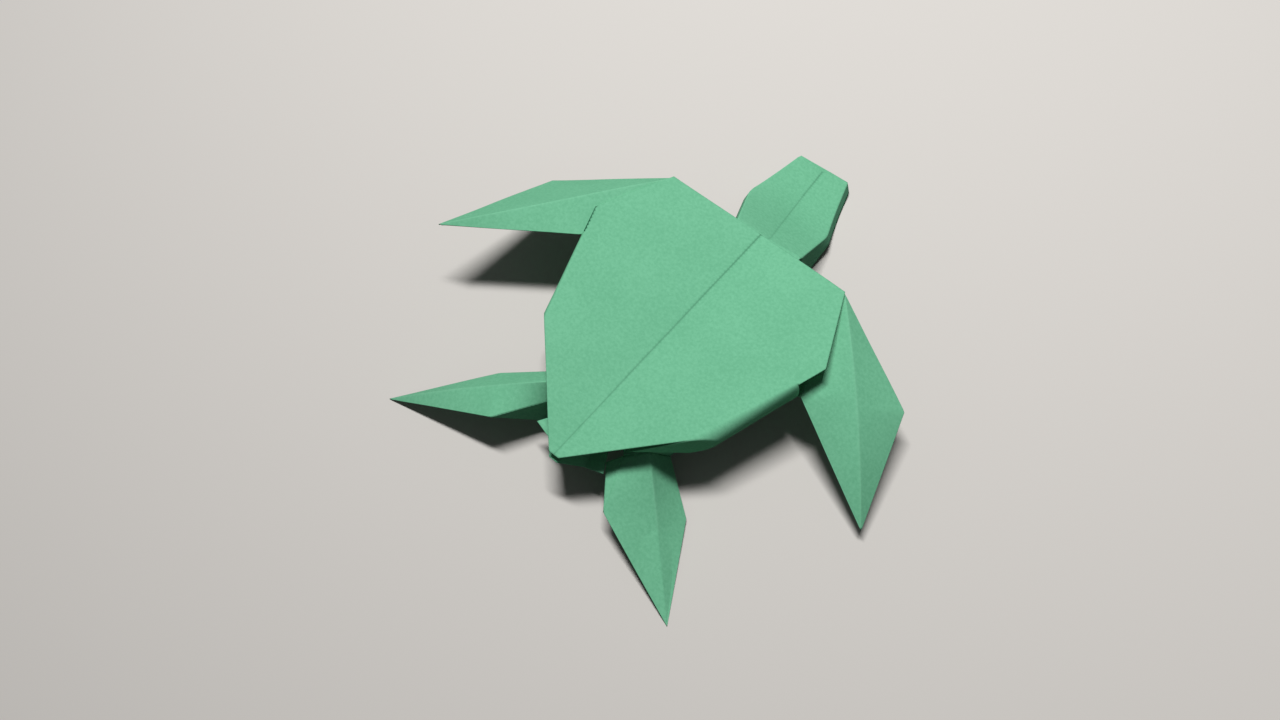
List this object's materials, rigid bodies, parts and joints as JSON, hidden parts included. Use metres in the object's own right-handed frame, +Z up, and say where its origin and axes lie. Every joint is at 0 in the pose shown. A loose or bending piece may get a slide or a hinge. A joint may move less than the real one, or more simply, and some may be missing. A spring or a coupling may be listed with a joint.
{
  "type": "origami turtle",
  "caption": "Sea turtle folded from one square of green paper: a wide shell of two flat halves, long ridged front flippers, shorter rear flippers and a hooded head that rests on the table",
  "frame": {"origin": "middle of the outline seen from above, at the height of the surface the turtle stands on", "axes": "+Y runs from the tail to the head, +X is the turtle's right side, +Z is up"},
  "size_m": [0.1108, 0.1122, 0.0204],
  "materials": {
    "paper": "matte green coloured paper, uncoated, creased and pressed flat by hand"
  },
  "bodies": {
    "root": {"folded_turtle": "paper"}
  },
  "joints": []
}
